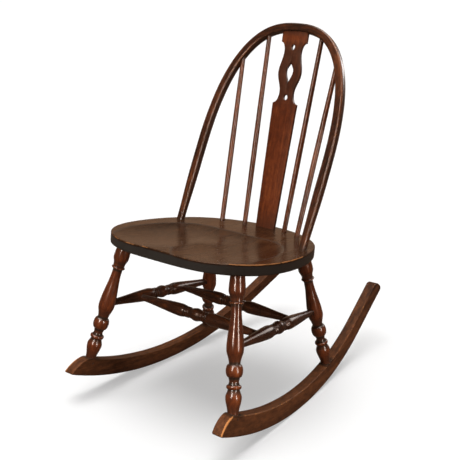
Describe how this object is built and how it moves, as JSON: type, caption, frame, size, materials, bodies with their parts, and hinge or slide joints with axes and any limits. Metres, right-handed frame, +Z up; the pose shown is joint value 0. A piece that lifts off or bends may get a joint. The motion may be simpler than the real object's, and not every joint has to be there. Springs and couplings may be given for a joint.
{
  "type": "rocking chair",
  "caption": "Armless Windsor-type rocking chair in dark-stained wood: carved saddle seat, bent bow back with spindles and a pierced splat, turned legs and stretchers, curved rockers.",
  "frame": {"origin": "on the floor under the middle of the chair's bounding box, at the height of the rockers' lowest points", "axes": "+Z up, the sitter faces -Y, +X is on the right seen from the front, mirror plane x = 0"},
  "size_m": [0.467, 0.8259, 0.8717],
  "materials": {
    "seat": "satin, rubbed",
    "bow": "semi-gloss",
    "splat": "semi-gloss",
    "spindle": "semi-gloss",
    "leg": "gloss",
    "stretcher": "semi-gloss",
    "rocker": "satin, worn at the arrises",
    "pin": "satin",
    "wedge": "raw end grain"
  },
  "bodies": {
    "root": {"seat": "seat", "bow": "bow", "splat": "splat", "spindle_outer_left": "spindle", "spindle_outer_right": "spindle", "spindle_inner_left": "spindle", "spindle_inner_right": "spindle", "leg_front_left": "leg", "leg_front_right": "leg", "leg_rear_left": "leg", "leg_rear_right": "leg", "side_stretcher_left": "stretcher", "side_stretcher_right": "stretcher", "cross_stretcher_front": "stretcher", "cross_stretcher_rear": "stretcher", "rocker_left": "rocker", "rocker_right": "rocker", "rocker_pin_front_left": "pin", "rocker_pin_front_right": "pin", "rocker_pin_rear_left": "pin", "rocker_pin_rear_right": "pin", "bow_wedge_left": "wedge", "bow_wedge_right": "wedge"}
  },
  "joints": []
}
